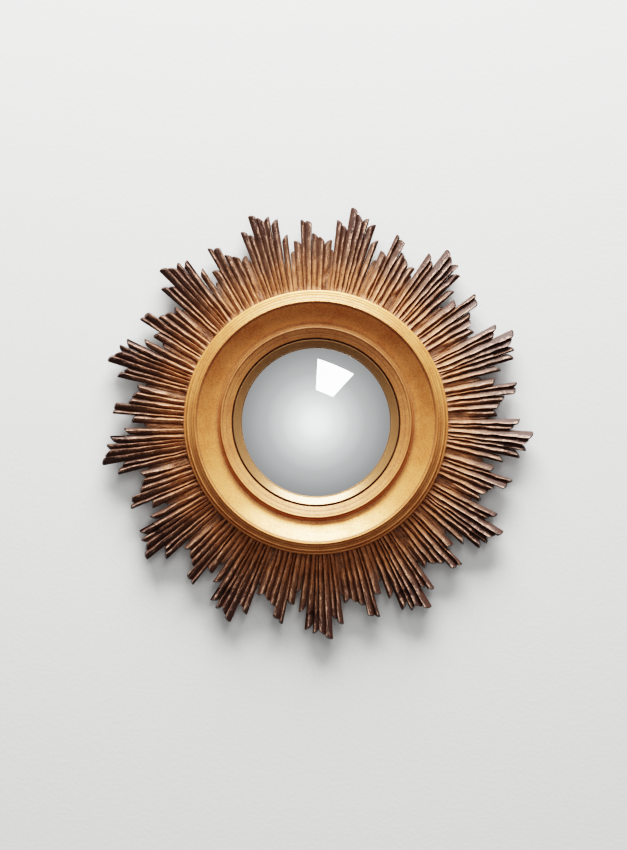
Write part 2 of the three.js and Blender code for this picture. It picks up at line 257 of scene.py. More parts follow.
class Finish:
    """A material, or the surroundings, in the making."""

    def __init__(self, name, kind="materials"):
        self.made = getattr(bpy.data, kind).new(name)
        self.made.use_nodes = True
        self.tree = self.made.node_tree
        self.tree.nodes.clear()

    def node(self, kind, settings=None, sockets=None, output=0):
        """Adds a node, sets it up, fills its sockets with values or links, and gives an output."""
        made = self.tree.nodes.new("ShaderNode" + kind)
        for name, setting in (settings or {}).items():
            if name == "stops":
                self.set_stops(made.color_ramp, setting)
            else:
                setattr(made, name, setting)
        for name, value in (sockets or {}).items():
            if isinstance(value, Value):
                self.tree.links.new(value.socket, made.inputs[name])
            else:
                made.inputs[name].default_value = value
        return Value(self, made.outputs[output]) if made.outputs else None

    @staticmethod
    def set_stops(ramp, stops):
        while len(ramp.elements) < len(stops):
            ramp.elements.new(1.0)
        for element, (place, colour) in zip(ramp.elements, stops):
            element.position = place
            element.color = colour

    def mix(self, share, first, second):
        """Mixes two colours."""
        settings = {"data_type": "RGBA", "clamp_factor": True}
        return self.node("Mix", settings, {0: share, 6: first, 7: second}, output=2)

    def vector(self, operation, *operands, output=0):
        return self.node("VectorMath", {"operation": operation}, dict(enumerate(operands)), output)

    def scaled(self, vector, factor):
        return self.node("VectorMath", {"operation": "SCALE"}, {0: vector, "Scale": factor})

    def place(self):
        """Where the surface is, in the frame of the model."""
        return self.node("TexCoord", output=3)

    def attribute(self, name):
        """A number that the mesh carries at its points."""
        return self.node("Attribute", {"attribute_name": name}, output=2)

    def grain(self, vector, scale, detail=2.0, roughness=0.5):
        """Soft noise between 0 and 1."""
        sockets = {"Vector": vector, "Scale": scale, "Detail": detail, "Roughness": roughness}
        return self.node("TexNoise", None, sockets)

    def step(self, value, low, high):
        """Rises smoothly from 0 to 1 as a value goes from low to high."""
        settings = {"interpolation_type": "SMOOTHSTEP"}
        sockets = {"Value": value, "From Min": low, "From Max": high}
        return self.node("MapRange", settings, sockets)

    def round_axis(self, across, along):
        """Coordinates that follow the turning: across is the scale round the axis, along by radius."""
        place = self.place()
        flat = self.vector("MULTIPLY", place, (1.0, 0.0, 1.0))
        radius = self.vector("LENGTH", flat, output=1)
        turn = self.scaled(self.vector("NORMALIZE", flat), across)
        out = self.node("CombineXYZ", None, {"Y": radius * along})
        return self.vector("ADD", turn, out), radius

    def bump(self, height, depth):
        """A normal for relief, with the depth that a height of 1 stands for."""
        return self.node("Bump", None, {"Strength": 1.0, "Distance": depth, "Height": height})

    def finish(self, **sockets):
        """Ends in a Principled shader with these sockets, whose names have _ for a space."""
        named = {name.replace("_", " "): value for name, value in sockets.items()}
        shader = self.node("BsdfPrincipled", None, named)
        self.node("OutputMaterial", None, {"Surface": shader})
        return self.made


# Finishes

# Scales of the noise, finer as they grow
RAY_STREAKS = 1100.0
RAY_BLOTCHES = 75.0
RAY_MOTTLES = 380.0
RAY_SPECKS = 850.0
TURNING_MARKS = 1500.0
GOLD_BLOTCHES = 45.0
GOLD_MOTTLES = 420.0
GOLD_SPECKS = 800.0
HAZE = 60.0
FIBRES = 900.0
BOARD_CLOUDS = 35.0
ZINC_CLOUDS = 400.0
PLASTER_GRAIN = 260.0

# Ranges of a value over which a finish changes
ROOT_TO_MIDDLE = (0.0, 0.4)
MIDDLE_TO_TIP = (0.35, 0.9)
GRIME_TO_CLEAN = (0.05, 0.65)
TO_BRUSHED = (0.72, 1.2)
TO_THIN_LEAF = (0.5, 0.85)
TO_FLECK = (0.53, 0.7)
TO_GLASS_EDGE = (55 * MM, GLASS_RADIUS * MM)
TO_LONG_FIBRE = (0.5, 0.75)

# What a height of 1 stands for
RAY_RELIEF = 1.2 * MM
GOLD_RELIEF = 0.08 * MM
BOARD_RELIEF = 0.1 * MM
PLASTER_RELIEF = 0.2 * MM

SILVER = srgb(238, 240, 241)
SILVER_EDGE = srgb(226, 229, 231)
BOARD_DARK = srgb(120, 92, 66)
BOARD_PALE = srgb(146, 116, 86)
BOARD_FIBRE = srgb(84, 62, 44)
ZINC_DARK = srgb(150, 153, 156)
ZINC_PALE = srgb(196, 198, 200)


def ray_finish(colours):
    """Copper-brown patina: glowing near the moulding, dark at the tips, dry-brushed on the ridges."""
    finish = Finish("copper_brown_patina")
    streaks, radius = finish.round_axis(across=0.13, along=0.08)
    place = finish.place()
    along = finish.step(radius, ROOT_RADIUS * MM, (ROOT_RADIUS + RAY_LENGTH) * MM)
    streak = finish.grain(streaks, RAY_STREAKS, detail=3.0, roughness=0.6) - 0.5
    blotch = finish.grain(place, RAY_BLOTCHES, detail=3.0) - 0.5
    mottle = finish.grain(place, RAY_MOTTLES, detail=3.0, roughness=0.7) - 0.5
    speck = finish.grain(place, RAY_SPECKS, roughness=0.7) - 0.5
    ridge = finish.attribute("ridge")
    low = finish.attribute("low")
    outward = (along + blotch * 0.45 + mottle * 0.3).clamped()
    past_root = finish.step(outward, *ROOT_TO_MIDDLE)
    inner = finish.mix(past_root, tuple(colours.ray_root), tuple(colours.ray_middle))
    body = finish.mix(finish.step(outward, *MIDDLE_TO_TIP), inner, tuple(colours.ray_tip))
    height = ridge + mottle * 1.1 + streak * 1.7 + speck + low * 0.25
    darkening = 1 - finish.step(height, *(limit + outward * 0.15 for limit in GRIME_TO_CLEAN))
    stained = finish.mix(darkening * 0.85, body, tuple(colours.ray_grime))
    brushed = finish.step(height, *TO_BRUSHED) * (1 - low)
    bright = finish.mix(outward * 0.9, tuple(colours.ray_glow), tuple(colours.ray_rubbed))
    colour = finish.mix(brushed * 0.85, stained, bright)
    relief = streak * 0.4 + mottle * 0.5 + speck * 0.2
    return finish.finish(
        Base_Color=colour,
        Roughness=0.6 + speck * 0.3 - brushed * 0.08,
        Specular_IOR_Level=0.35,
        Normal=finish.bump(relief, RAY_RELIEF),
    )


def gold_finish(name, colours, film_and_shade=0.0):
    """Satin leaf over resin, with fine turning marks, thin places, flecks and dark grooves, whose dark marks
    are grime with painted shade; the brown film is dust and painted shade.
    """
    finish = Finish(name)
    marks, _ = finish.round_axis(across=0.02, along=1.0)
    turned = finish.grain(marks, TURNING_MARKS)
    blotch = finish.grain(finish.place(), GOLD_BLOTCHES, detail=4.0, roughness=0.6)
    speck = finish.grain(finish.place(), GOLD_SPECKS, detail=3.0, roughness=0.75)
    mottle = finish.grain(finish.place(), GOLD_MOTTLES, detail=3.0, roughness=0.75)
    thin = finish.step(blotch * 0.7 + mottle * 0.6 + (speck - 0.5) * 0.7, *TO_THIN_LEAF)
    leaf = finish.mix(thin * 0.9, tuple(colours.gold), tuple(colours.gold_worn))
    filmed_and_shaded = finish.mix(film_and_shade * (0.8 + blotch * 0.4), leaf, tuple(colours.gold_film_and_shade))
    # The groove marks paint grime and shade into the leaf.
    groove = finish.attribute("groove")
    fleck = finish.step(speck, *TO_FLECK) * 0.45
    dark = (groove * 0.85 + fleck).clamped()
    colour = finish.mix(dark, filmed_and_shaded, tuple(colours.gold_grime_and_shade))
    return finish.finish(
        Base_Color=colour,
        Roughness=0.4 - film_and_shade * 0.1 + (speck - 0.5) * 0.16 + thin * 0.06 + groove * 0.2,
        Metallic=0.5 + film_and_shade * 0.2 - dark * 0.4,
        Normal=finish.bump(turned * 0.5 + speck * 0.5, GOLD_RELIEF),
    )


def mirror_finish():
    """Silvered glass with a slight haze, a little duller towards its edge."""
    finish = Finish("silvered_glass")
    _, radius = finish.round_axis(across=1.0, along=1.0)
    haze = finish.grain(finish.place(), HAZE, detail=3.0)
    edge = finish.step(radius, *TO_GLASS_EDGE)
    silver = finish.mix(edge * 0.5 + haze * 0.1, SILVER, SILVER_EDGE)
    return finish.finish(Base_Color=silver, Roughness=0.012 + haze * 0.012, Metallic=1.0)


def board_finish():
    """Brown fibreboard with a fine felted surface."""
    finish = Finish("fibreboard")
    fibre = finish.grain(finish.place(), FIBRES, detail=4.0, roughness=0.7)
    cloud = finish.grain(finish.place(), BOARD_CLOUDS, detail=3.0)
    felt = finish.mix(cloud, BOARD_DARK, BOARD_PALE)
    colour = finish.mix(finish.step(fibre, *TO_LONG_FIBRE) * 0.5, felt, BOARD_FIBRE)
    relief = finish.bump(fibre, BOARD_RELIEF)
    return finish.finish(Base_Color=colour, Roughness=0.8 + fibre * 0.15, Normal=relief)


def zinc_finish():
    """Dull zinc with the cloudy marks of its plating."""
    finish = Finish("dull_zinc")
    cloud = finish.grain(finish.place(), ZINC_CLOUDS, detail=4.0)
    colour = finish.mix(cloud, ZINC_DARK, ZINC_PALE)
    return finish.finish(Base_Color=colour, Metallic=0.9, Roughness=0.35 + cloud * 0.2)


# Mesh helpers

SHARP_ANGLE = math.radians(32)
WAVE_LENGTH = 14 * MM  # of the slight waves in a turned surface


def add_piece(name, points, faces, materials, replaced, marks=None):
    """Makes a piece of mesh in place of solids, with numbers at its points for its finish."""
    mesh = bpy.data.meshes.new(name)
    mesh.from_pydata(points, [], faces)
    for label, values in (marks or {}).items():
        mesh.attributes.new(label, "FLOAT", "POINT").data.foreach_set("value", values)
    mesh.validate()
    mesh.shade_smooth()
    mesh.set_sharp_from_angle(angle=SHARP_ANGLE)
    for material in materials:
        mesh.materials.append(material)
    piece = bpy.data.objects.new(name, mesh)
    bpy.context.scene.collection.objects.link(piece)
    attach(piece, BODY)
    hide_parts(*replaced)
    return piece


def polar(degrees, radius, out):
    """A point at an angle clockwise from the top, in metres from millimetres."""
    angle = math.radians(degrees)
    return radius * math.sin(angle) * MM, -out * MM, radius * math.cos(angle) * MM


def softened(points, spacing, passes):
    """A line of points resampled at an even spacing, with its corners slightly rounded."""
    line = np.array(points, float)
    lengths = np.concatenate(([0.0], np.cumsum(np.hypot(*np.diff(line, axis=0).T))))
    count = max(2, round(lengths[-1] / spacing))
    places = np.linspace(0.0, lengths[-1], count + 1)
    even = np.stack([np.interp(places, lengths, line[:, axis]) for axis in (0, 1)], axis=1)
    for _ in range(passes):
        even[1:-1] = (even[:-2] + 2 * even[1:-1] + even[2:]) / 4
    return [tuple(point) for point in even]


def arc(radius, height, width, rise, start, end, steps):
    """Points on an ellipse about a centre, with the angles in degrees from the outward direction."""
    angles = [math.radians(lerp(start, end, i / steps)) for i in range(steps + 1)]
    return [(radius + width * math.cos(angle), height + rise * math.sin(angle)) for angle in angles]


def hollow(start, end, depth, steps):
    """Points on a curve between two points that dips below the straight line between them."""
    first, last = np.array(start), np.array(end)
    along = (last - first) / np.linalg.norm(last - first)
    away = np.array([-along[1], along[0]]) * 4 * depth
    shares = [i / steps for i in range(steps + 1)]
    return [tuple(first + (last - first) * share + away * share * (1 - share)) for share in shares]


def turned(section, flats, unevenness=0.0, closed=True):
    """Points and faces of a ring, or of a disc whose section starts and ends on the axis."""
    points = []
    for flat in range(flats):
        degrees = 360 * flat / flats
        for radius, out in section:
            x, y, z = polar(degrees, radius, out)
            if unevenness:
                y -= noise.noise(Vector((x, y, z)) / WAVE_LENGTH) * unevenness
            points.append((x, y, z))
    size = len(section)
    faces = []
    for flat in range(flats):
        here = flat * size
        there = (flat + 1) % flats * size
        for i in range(size if closed else size - 1):
            j = (i + 1) % size
            faces.append((here + i, there + i, there + j, here + j))
    return points, faces


# Sunburst

FLAT_RELIEF = 0.3  # a ray with less relief than this is a low filler between two others
WEB_REACH = 6.0  # how far out from the moulding the valleys are partly filled
WEB_FILL = 0.85
BEVEL_SHARES = (0.5, 1.0)  # of the bevel at the tip, in the valleys and on the ridge
LOWEST_RISE = 0.15  # height of a ridge before it begins, as a share of what it rises to
RISE_SHARE = 0.15  # of the ray's length, over which such a ridge rises
SWAY_PIVOT = 0.6  # where along the ray a leaning ridge crosses its straight line
SWAY_WAVE = 22.0  # length of the waves in which a ridge strays sideways
HEIGHT_WAVE = 13.0  # length of the waves in which it strays up and down
LONG_MARK = 40.0  # lengths of the tool marks
SHORT_MARK = 9.0
SHORT_MARK_SHARE = 0.6
CHIP_SHARE = 0.7  # of the raggedness, by which a tip varies between its corners
LONGEST_CHIP = 0.8
NO_STEP = 2.0  # past the tip, for a ray that isn't stepped
STEP_GAP = 0.003  # from a step to the row on each side of it, as a share of the ray's length
NEAREST_ROW = 0.4  # a row nearer to a step than this share of the rows' distance is left out
CROWDING = 1.35  # how much closer the columns of points stand near the ridge
CREST_ROUND = 0.92  # 1 would leave the ridges sharp
HUB_FLATS = 160
HUB_MARKS = (-0.5, 1.0)  # ridge and low marks that leave the hub plain and dark


def ray_at(index):
    return RAYS[index % len(RAYS)]


def edge_angles(index):
    """The angles of a ray's left edge at its root and at its tip."""
    ray = ray_at(index)
    sector = 360 / SECTORS
    tip = FIRST_SECTOR + (index // len(RAYS) + ray["start"]) * sector
    return tip + ray["lean"] * sector, tip


def along_ray(radius):
    return (radius - ROOT_RADIUS) / RAY_LENGTH


def valley_at(radius):
    return RAY_OFF_WALL + lerp(VALLEY_AT_ROOT, VALLEY_AT_TIP, along_ray(radius))


def ridge_at(radius):
    return lerp(RIDGE_AT_ROOT, RIDGE_AT_TIP, along_ray(radius))


def jitter(*numbers):
    """A steady number, seldom past -1 or 1, for a place. Bare numbers in it keep its uses apart."""
    return noise.noise(Vector([number * 1.37 + 0.5 for number in (*numbers, 0, 0)][:3])) * 1.6


def tip_cut(index, ragged):
    """How far this ray's tip falls short of its drawn length, as a share of the longest."""
    return abs(jitter(index * 3.1, 7.7)) * ragged / (RAY_LENGTH * MM)


def corner_wear(index, across, worn):
    """How far a tip is worn back towards its corners, in millimetres."""
    return worn / MM * (1 + 0.5 * jitter(index * 1.9, across * 2, 5.5)) * abs(2 * across - 1) ** 3


def edge_drop(index, drop):
    """How far the edge before a ray sinks past the step, where both rays beside it are stepped."""
    stepped = "step" in ray_at(index) and "step" in ray_at(index - 1)
    return drop if stepped else 0.0


def chip(index, across, ragged):
    """How far a tip stands out between its corners, or falls short where this is negative."""
    if not 0 < across < 1:
        return 0.0
    return min(LONGEST_CHIP, jitter(index * 5.1, across * 6, 9.9) * ragged / MM * CHIP_SHARE)


def tool_mark(index, across, radius, gouge):
    """Height of the tool marks at a place on a facet, in millimetres."""
    long_mark = jitter(index * 2.3, across * 9, radius / LONG_MARK)
    short_mark = jitter(index, across * 14, radius / SHORT_MARK)
    return (long_mark + SHORT_MARK_SHARE * short_mark) * gouge / MM


def ray_sheet(index, carving):
    """The front of one ray as a grid of points by row and column, with its ridge and low marks."""
    ray = ray_at(index)
    cut = tip_cut(index, carving.ragged)
    reach = [share - cut for share in ray["reach"]]
    step = ray.get("step")
    drop = carving.layer_drop / MM if step else 0.0
    drops = edge_drop(index, drop), edge_drop(index + 1, drop)
    left, right = edge_angles(index), edge_angles(index + 1)
    low = 1.0 if ray["relief"] < FLAT_RELIEF else 0.0
    shares = facet_shares(ray["ridge"], carving.columns)
    mean_length = RAY_LENGTH * sum(reach) / 2 - TIP_BEVEL * sum(BEVEL_SHARES) / 2
    at_step = RAY_LENGTH * step / mean_length if step else NO_STEP
    rows = []
    for along in row_shares(carving.rows, at_step):
        past = 1.0 if along > at_step else 0.0
        risen = min(1.0, max(LOWEST_RISE, (along - ray.get("rises", -1.0)) / RISE_SHARE))
        row = []
        for across in shares:
            up = ridge_share(across, ray["ridge"])
            length = RAY_LENGTH * lerp(reach[0], reach[1], across) - TIP_BEVEL * lerp(*BEVEL_SHARES, up)
            length -= corner_wear(index, across, carving.worn)
            radius = ROOT_RADIUS + (length + chip(index, across, carving.ragged)) * along
            degrees = lerp(lerp(left[0], right[0], across), lerp(left[1], right[1], across), along)
            sway = jitter(index, radius / SWAY_WAVE, 3.3) * carving.waver / MM * up
            degrees += math.degrees((sway + ray.get("sway", 0.0) * (along - SWAY_PIVOT) * up) / radius)
            sunk = past * lerp(*drops, across) if across in (0.0, 1.0) else past * drop
            web = WEB_FILL * max(0.0, 1 - (radius - ROOT_RADIUS) / WEB_REACH) ** 2
            rise = ridge_at(radius) * ray["relief"] * lerp(up, 1.0, web) * risen
            rise += jitter(index + 40, radius / HEIGHT_WAVE, 1.1) * carving.waver / MM * up
            gouge = tool_mark(index, across, radius, carving.gouge) * 4 * up * (1 - up)
            out = valley_at(radius) + rise + gouge - sunk
            row.append((polar(degrees, radius, out), up * risen, max(low, 1 - risen)))
        rows.append(row)
    return rows, shares, reach


def facet_shares(ridge, columns):
    """Where the columns of points stand across a ray, closer together near the ridge."""
    left = [ridge * (1 - (1 - i / columns) ** CROWDING) for i in range(columns + 1)]
    right = [ridge + (1 - ridge) * (i / columns) ** CROWDING for i in range(1, columns + 1)]
    return left + right


def row_shares(rows, at_step):
    """Where the rows of points stand along a ray, with a pair at the step of a stepped ray."""
    shares = [i / rows for i in range(rows + 1)]
    if at_step < 1:
        shares = [share for share in shares if abs(share - at_step) > NEAREST_ROW / rows]
        shares += [at_step - STEP_GAP, at_step + STEP_GAP]
    return sorted(shares)


def ridge_share(across, ridge):
    """Height across a ray, 0 in the valleys and 1 on the ridge, with the ridge slightly rounded."""
    peak = across / ridge if across < ridge else (1 - across) / (1 - ridge)
    return max(0.0, peak) ** CREST_ROUND


def sunburst_mesh(carving):
    """Points and faces of the rays and the hub, with the ridge and low marks of each point."""
    points, faces, ridges, lows = [], [], [], []

    def add(point, ridge=0.0, low=0.0):
        points.append(point)
        ridges.append(ridge)
        lows.append(low)
        return len(points) - 1

    for index in range(RAY_COUNT):
        rows, shares, reach = ray_sheet(index, carving)
        grid = [[add(*point) for point in row] for row in rows]
        for lower, upper in zip(grid, grid[1:]):
            for i in range(len(shares) - 1):
                faces.append((lower[i], lower[i + 1], upper[i + 1], upper[i]))
        left, right = edge_angles(index), edge_angles(index + 1)
        back_tip = []
        for across in shares:
            radius = ROOT_RADIUS + RAY_LENGTH * lerp(reach[0], reach[1], across)
            radius -= corner_wear(index, across, carving.worn)
            back_tip.append(add(polar(lerp(left[1], right[1], across), radius, RAY_OFF_WALL)))
        back_root = [add(polar(angle, ROOT_RADIUS, RAY_OFF_WALL)) for angle in (left[0], right[0])]
        tip = grid[-1]
        for i in range(len(shares) - 1):
            faces.append((tip[i], tip[i + 1], back_tip[i + 1], back_tip[i]))
        faces.append((back_root[1], back_root[0], *back_tip))
        faces.append((back_root[0], *[row[0] for row in grid], back_tip[0]))
        faces.append((back_tip[-1], *[row[-1] for row in reversed(grid)], back_root[1]))
        faces.append((back_root[0], back_root[1], *reversed(grid[0])))
    hub = [
        (GLASS_RADIUS - HUB_LEDGE, BOARD_THICKNESS + FIT_GAP),
        (BOARD_RADIUS + FIT_GAP, BOARD_THICKNESS + FIT_GAP),
        (BOARD_RADIUS + FIT_GAP, HUB_BACK),
        (ROOT_RADIUS + HUB_RIM, HUB_BACK),
        (ROOT_RADIUS + HUB_RIM, HUB_FRONT),
        (GLASS_RADIUS - HUB_LEDGE, HUB_FRONT),
    ]
    hub_points, hub_faces = turned(hub, HUB_FLATS)
    first = len(points)
    for point in hub_points:
        add(point, *HUB_MARKS)
    faces += [tuple(first + corner for corner in face) for face in hub_faces]
    return points, faces, {"ridge": ridges, "low": lows}


# Turned rings

SIGHT_OUTER = SIGHT_RADIUS + SIGHT_WIDTH
SLOPE_START = SIGHT_OUTER + SHADOW_GAP
SLOPE_WIDTH = 9.4
SLOPE_END = SLOPE_START + SLOPE_WIDTH
SLOPE_BOTTOM = 12.0
SLOPE_TOP = 16.6
SLOPE_LINES = (88.8, 92.6)
SLOPE_LINE_DEPTH = 0.4
SLOPE_FOOT = 8.0  # where the softened front ends, down the side of the shadow gap
BEAD_SIDE = (SLOPE_END + 2.2, 15.2)
COVE_START = 98.4
COVE_END = 118.2
COVE_BOTTOM = 11.4
COVE_TOP = 24.0
COVE_HOLLOW = 1.0
COVE_EDGE = (COVE_END + 0.7, COVE_TOP + 0.2)
LIP_CREST = 119.8
LIP_END = 126.0
LIP_HEIGHT = 27.0
LIP_ROUND = 1.05  # 1 would let it fall straight from its crest
LIP_TOP_POINTS = (120.6, 120.2, LIP_CREST)
LIP_LINES = (121.1, 123.8)
LIP_LOW_POINTS = (125.6, 125.0, 124.5)
LIP_STEP = 0.3  # from the lip down to the band
BAND_TOP = 20.6
BAND_GROOVE = (LIP_END + 0.35, BAND_TOP - 0.8)
FLANGE_ROOM = FLANGE_THICKNESS + FIT_GAP
SIGHT_FOOT = 1.0  # where the softened front of the sight ring begins, over its flange
MOULDING_SPACING = 0.4  # between the points of a softened front
SIGHT_SPACING = 0.3
COVE_STEPS = 14

# Rounded parts of the moulding: the radius and height of their centre, their half width, their rise,
# the angles from and to, and the number of steps
INNER_BEAD = (SLOPE_END + 0.9, 16.5, 1.1, 1.5, 0, 180, 10)
BAND_EDGE = (126.7, 14.2, 2.7, 6.1, 0, 80, 7)
OUTER_BEAD = (MOULDING_RADIUS - 1.5, 11.2, 1.7, 1.9, -70, 110, 9)

# Where grime and painted shade lie: radius, width and strength. The dark fine lines and grooves are grime
# with painted shade; the marks at the shadow gap, on the outer side of the inner bead and at the foot of the
# cove are painted shade, and the broad mark across the slope is painted shade and dust.
MOULDING_GRIME_AND_SHADE = (
    (83.8, 0.7, 1.0),
    (88.0, 7.0, 0.5),
    (SLOPE_LINES[0], 0.8, 0.75),
    (SLOPE_LINES[1], 0.7, 0.7),
    (COVE_START - 3.0, 1.4, 1.0),
    (COVE_START - 0.2, 2.2, 0.7),
    (COVE_END + 0.1, 0.7, 1.0),
    (LIP_LINES[0], 0.5, 0.8),
    (LIP_LINES[1], 0.5, 0.8),
    (BAND_GROOVE[0], 0.5, 0.6),
    (MOULDING_RADIUS - 2.4, 0.5, 0.6),
)
# The sight ring's outer edge is darkened at the shadow gap: painted shade.
SIGHT_GAP_SHADE = ((SIGHT_OUTER, 0.5, 0.9),)


def groove_marks(section, flats, darkening):
    """How dark each point of a turned ring is painted, for grime and painted shade."""
    marks = [
        max(strength * math.exp(-(((radius - middle) / width) ** 2)) for middle, width, strength in darkening)
        for radius, _ in section
    ]
    return marks * flats


def fine_line(radius, height_at, width=0.7, depth=0.6):
    """A small groove cut into a slope."""
    half = width / 2
    return [
        (radius + half, height_at(radius + half)),
        (radius, height_at(radius) - depth),
        (radius - half, height_at(radius - half)),
    ]


def slope_at(radius):
    return lerp(SLOPE_BOTTOM, SLOPE_TOP, (radius - SLOPE_START) / SLOPE_WIDTH)


def lip_at(radius):
    """The lip falls away outwards from its crest."""
    share = (radius - LIP_CREST) / (LIP_END - LIP_CREST)
    return lerp(LIP_HEIGHT, BAND_TOP, share**LIP_ROUND)


def moulding_section(softening):
    """The gilded moulding: band, lip with fine lines, cove, inner bead and a slope with fine lines."""
    front = [
        (MOULDING_RADIUS, FLANGE_ROOM),
        *arc(*OUTER_BEAD),
        *arc(*BAND_EDGE),
        BAND_GROOVE,
        (LIP_END, BAND_TOP + LIP_STEP),
        *[(radius, lip_at(radius)) for radius in LIP_LOW_POINTS],
        *fine_line(LIP_LINES[1], lip_at),
        *fine_line(LIP_LINES[0], lip_at),
        *[(radius, lip_at(radius)) for radius in LIP_TOP_POINTS],
        COVE_EDGE,
        *hollow((COVE_END, COVE_TOP), (COVE_START, COVE_BOTTOM), COVE_HOLLOW, COVE_STEPS),
        BEAD_SIDE,
        *arc(*INNER_BEAD),
        *fine_line(SLOPE_LINES[1], slope_at, depth=SLOPE_LINE_DEPTH),
        *fine_line(SLOPE_LINES[0], slope_at, depth=SLOPE_LINE_DEPTH),
        (SLOPE_START, SLOPE_BOTTOM),
        (SLOPE_START, SLOPE_FOOT),
    ]
    rebate = SIGHT_OUTER + FLANGE_WIDTH + FIT_GAP
    back = [
        (SLOPE_START, FLANGE_ROOM),
        (rebate, FLANGE_ROOM),
        (rebate, 0.0),
        (MOULDING_RADIUS, 0.0),
    ]
    line = softened(front, MOULDING_SPACING, softening) + back
    return [(radius, SEAT + height) for radius, height in line]


def glass_front(radius):
    """How far the front of the glass stands out at a radius."""
    back = math.sqrt((GLASS_CURVE_RADIUS - GLASS_THICKNESS) ** 2 - GLASS_RADIUS**2)
    return SEAT - back + math.sqrt(GLASS_CURVE_RADIUS**2 - radius**2)


def sight_section(softening):
    """The sight ring: its side, its slope towards the glass, its bore and its flange."""
    bottom = glass_front(SIGHT_RADIUS) + FIT_GAP
    top = bottom + SIGHT_LIP
    flange_top = SEAT + FLANGE_THICKNESS
    front = [
        (SIGHT_OUTER, flange_top + SIGHT_FOOT),
        (SIGHT_OUTER, top + SIGHT_RISE - SIGHT_BEVEL),
        (SIGHT_OUTER - SIGHT_BEVEL, top + SIGHT_RISE),
        (SIGHT_RADIUS + SIGHT_NOSE, top + SIGHT_NOSE),
        (SIGHT_RADIUS, top),
        (SIGHT_RADIUS, bottom),
    ]
    bore = GLASS_RADIUS + FIT_GAP
    flange = SIGHT_OUTER + FLANGE_WIDTH
    back = [
        (bore, glass_front(GLASS_RADIUS) + FIT_GAP),
        (bore, SEAT),
        (flange, SEAT),
        (flange, flange_top),
        (SIGHT_OUTER, flange_top),
    ]
    return softened(front, SIGHT_SPACING, softening) + back


def glass_mesh(flats, rings=40):
    """The bent glass: its front, its edge, and its back with a row for every fourth of the front."""
    rows = [GLASS_RADIUS * (i + 1) / rings for i in range(rings)]
    front = [(radius, glass_front(radius)) for radius in rows]
    inner = GLASS_CURVE_RADIUS - GLASS_THICKNESS
    centre = SEAT - math.sqrt(inner**2 - GLASS_RADIUS**2)
    back = [(radius, centre + math.sqrt(inner**2 - radius**2)) for radius in reversed(rows[::4] + rows[-1:])]
    section = front + back
    points, faces = turned(section, flats, closed=False)
    size = len(section)
    points += [(0.0, -glass_front(0.0) * MM, 0.0), (0.0, -(centre + inner) * MM, 0.0)]
    middle, behind = len(points) - 2, len(points) - 1
    for flat in range(flats):
        here, there = flat * size, (flat + 1) % flats * size
        faces.append((middle, there, here))
        faces.append((behind, here + size - 1, there + size - 1))
    return points, faces


# Operators


class SCENE_OT_sunburst(bpy.types.Operator):
    """Carve the sunburst: the ridged rays and the hub behind them"""

    bl_idname = "mirror.sunburst"
    bl_label = "Sunburst"

    def execute(self, context):
        points, faces, marks = sunburst_mesh(context.scene.mirror_carving)
        finish = ray_finish(context.scene.mirror_colours)
        add_piece("sunburst_carving", points, faces, [finish], ["sunburst"], marks)
        return {"FINISHED"}


class SCENE_OT_rings(bpy.types.Operator):
    """Turn the gilded moulding and the sight ring next to the glass"""

    bl_idname = "mirror.rings"
    bl_label = "Gilded Rings"

    def execute(self, context):
        turning = context.scene.mirror_turning
        colours = context.scene.mirror_colours
        section = moulding_section(turning.softening)
        points, faces = turned(section, turning.flats, turning.unevenness)
        marks = {"groove": groove_marks(section, turning.flats, MOULDING_GRIME_AND_SHADE)}
        gold = gold_finish("gold_leaf", colours)
        add_piece("moulding_gilded", points, faces, [gold], ["gold_moulding"], marks)
        section = sight_section(turning.softening)
        points, faces = turned(section, turning.flats)
        marks = {"groove": groove_marks(section, turning.flats, SIGHT_GAP_SHADE)}
        # The sight ring's leaf is dulled by the brown film: dust, and painted shade deep in the bowl.
        film_and_shade = gold_finish("gold_leaf_filmed_and_shaded", colours, film_and_shade=0.75)
        add_piece("sight_ring_gilded", points, faces, [film_and_shade], ["sight_ring"], marks)
        return {"FINISHED"}


class SCENE_OT_glass(bpy.types.Operator):
    """Bend the mirror glass and silver it"""

    bl_idname = "mirror.glass"
    bl_label = "Mirror Glass"

    def execute(self, context):
        points, faces = glass_mesh(context.scene.mirror_turning.flats)
        add_piece("glass_silvered", points, faces, [mirror_finish()], ["mirror_glass"])
        return {"FINISHED"}


class SCENE_OT_back(bpy.types.Operator):
    """Finish the back board and its keyhole plate"""

    bl_idname = "mirror.back"
    bl_label = "Back"

    def execute(self, context):
        for node, finish in (("back_board", board_finish()), ("hanger_plate", zinc_finish())):
            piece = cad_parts[node]
            piece.data.materials.clear()
            piece.data.materials.append(finish)
        return {"FINISHED"}


class SCENE_OT_stage(bpy.types.Operator):
    """Set up the pale wall and floor, the soft lights and the camera"""

    bl_idname = "mirror.stage"
    bl_label = "Stage"

    def execute(self, context):
        add_backdrop()
        add_lights()
        add_surroundings(context.scene)
        add_camera(context.scene)
        context.scene.view_settings.view_transform = "Filmic"
        context.scene.view_settings.look = "High Contrast"
        return {"FINISHED"}


# Stage

WALL_GAP = 0.6 * MM
FLOOR_DROP = 0.85
BACKDROP_SIDE = 4.5
WALL_SHADE = 196
FLOOR_SHADE = 204
CAMERA_DISTANCE = 1.8
FRAME_HEIGHT = 0.85  # of the camera's view at the rays
SENSOR = 36.0
VIEW_DEPTH = 20.0
VIEW_CENTRE = (-2.5 * MM, -2.7 * MM)  # sideways and up from the middle of the mirror
RAY_PLANE = 22 * MM

# The softbox that the glass mirrors, seen from the middle of the mirror, and how much farther it stands
SOFTBOX_ENDS = ((0.2, -0.761, 0.564), (0.186, -1.926, 0.63))
SOFTBOX_WIDTH = 0.392
SOFTBOX_ROLL = math.radians(22.9)
SOFTBOX_SCALE = 1.4
SOFTBOX_POWER = 22.0

